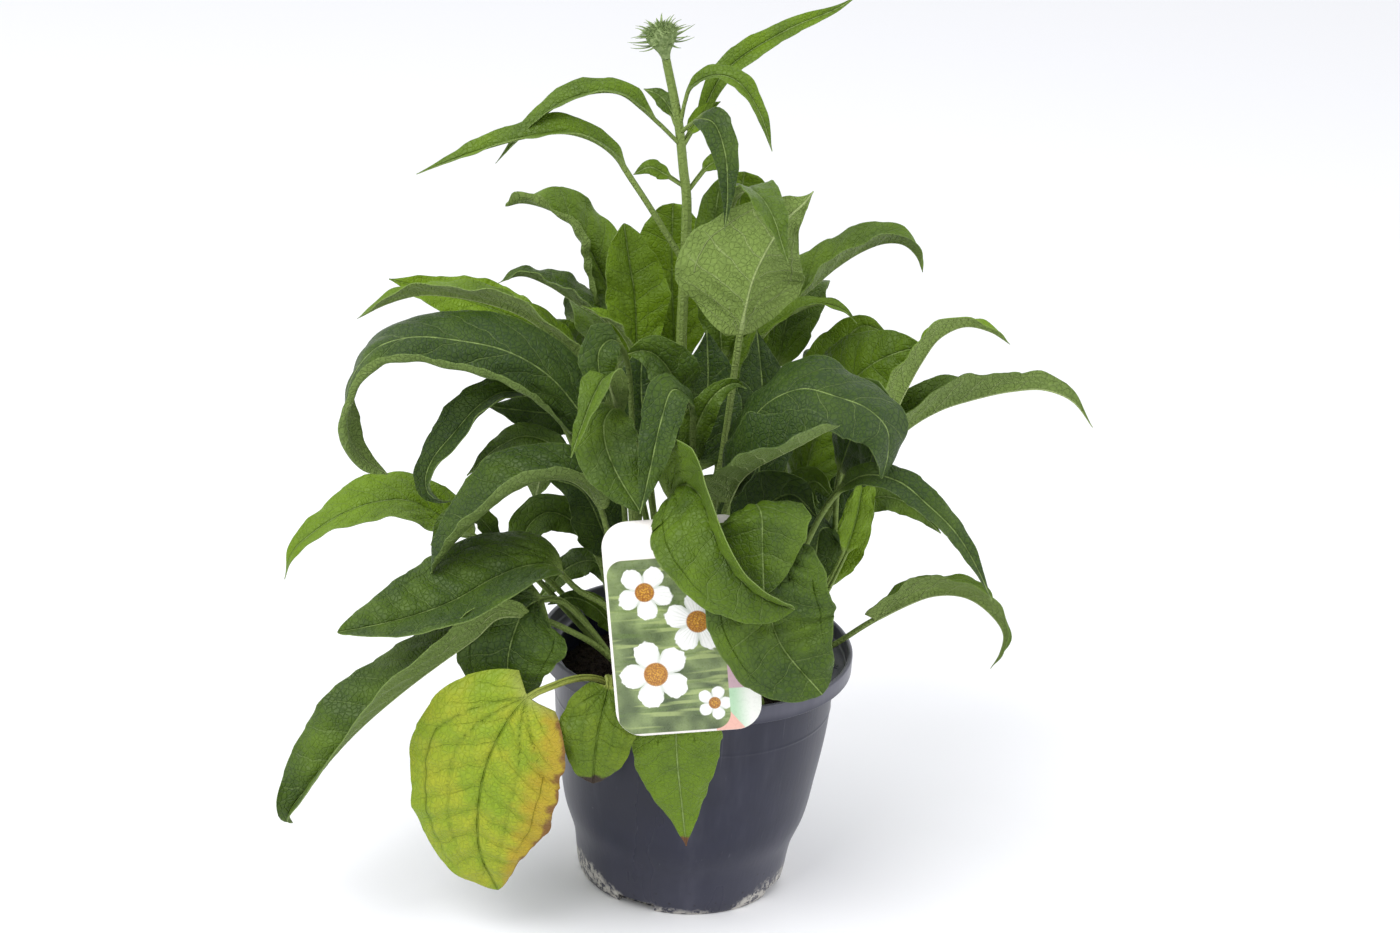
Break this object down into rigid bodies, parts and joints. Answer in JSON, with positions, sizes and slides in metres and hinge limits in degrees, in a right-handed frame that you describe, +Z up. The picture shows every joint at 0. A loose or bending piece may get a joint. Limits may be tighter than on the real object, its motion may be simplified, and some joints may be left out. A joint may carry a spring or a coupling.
{
  "type": "potted coneflower plant",
  "caption": "Leafy purple coneflower plant before flowering, in a dark plastic nursery pot: arching basal leaves, a tall stem with a green bud, yellowing old leaves and a plant tag",
  "frame": {"origin": "centre of the pot's flat underside", "axes": "+Z up out of the pot, +X to the plant's right, and -Y its front, where the tag hangs"},
  "size_m": [0.4752, 0.3263, 0.5465],
  "materials": {
    "pot_plastic": "dark blue-grey nursery plastic, faintly satin, with pale lime marks round the foot",
    "soil": "crumbly black peat, matt",
    "leaf": "dark green, softly glossy, with sunken veins and a paler underside",
    "old_leaf": "yellow-green, with a browning edge",
    "stem": "pale green, faintly ribbed and hairy",
    "bud": "grey-green, bristly",
    "tag_plastic": "glossy white plastic, printed"
  },
  "bodies": {
    "root": {"nursery_pot": "pot_plastic", "potting_soil": "soil", "leafy_shoot_west": "leaf", "leafy_shoot_northwest": "leaf", "leafy_shoot_southwest": "leaf", "leafy_shoot_south": "leaf", "leafy_shoot_southeast": "leaf", "leafy_shoot_east": "leaf", "leafy_shoot_northeast": "leaf", "leafy_shoot_north": "leaf", "leafy_shoot_heart": "leaf", "yellow_leaf": "old_leaf", "yellow_leaf_small": "old_leaf", "flower_stem": "stem", "flower_bud": "bud", "plant_tag": "tag_plastic"}
  },
  "joints": []
}
